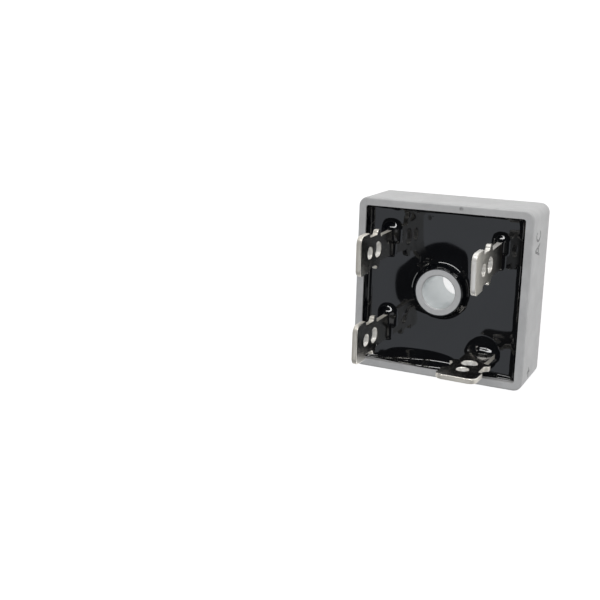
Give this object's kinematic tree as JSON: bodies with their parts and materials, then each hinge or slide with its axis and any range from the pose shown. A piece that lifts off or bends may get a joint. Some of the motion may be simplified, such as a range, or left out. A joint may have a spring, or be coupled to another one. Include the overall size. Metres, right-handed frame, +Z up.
{
  "type": "bridge rectifier",
  "caption": "Square potted bridge rectifier in a metal case with a centre screw hole and upright quick-connect tabs.",
  "frame": {"origin": "centre of the mounting face, under the screw hole", "axes": "+Z up along the terminals, the marked side of the case towards -Y, the AC side of that face towards +X"},
  "size_m": [0.0286, 0.0286, 0.0236],
  "materials": {
    "case_metal": "matt blasted, silver grey",
    "resin": "cast epoxy, glossy black",
    "tab_metal": "tin plated, satin",
    "copper": "bare copper, satin",
    "silicon": "polished dark grey",
    "solder": "solder, satin",
    "insulator": "white ceramic, matt"
  },
  "bodies": {
    "root": {"case": "case_metal", "potting": "resin", "terminal_positive": "tab_metal", "terminal_negative": "tab_metal", "terminal_ac_front": "tab_metal", "terminal_ac_back": "tab_metal", "insulator_sheet": "insulator", "positive_plate": "copper", "negative_plate": "copper", "ac_strap_front": "copper", "ac_strap_back": "copper", "die_front": "silicon", "die_back": "silicon", "die_left": "silicon", "die_right": "silicon", "die_solder_lower_front": "solder", "die_solder_upper_front": "solder", "die_solder_lower_back": "solder", "die_solder_upper_back": "solder", "die_solder_lower_left": "solder", "die_solder_upper_left": "solder", "die_solder_lower_right": "solder", "die_solder_upper_right": "solder", "foot_solder_positive": "solder", "foot_solder_negative": "solder", "foot_solder_ac_front": "solder", "foot_solder_ac_back": "solder"}
  },
  "joints": []
}
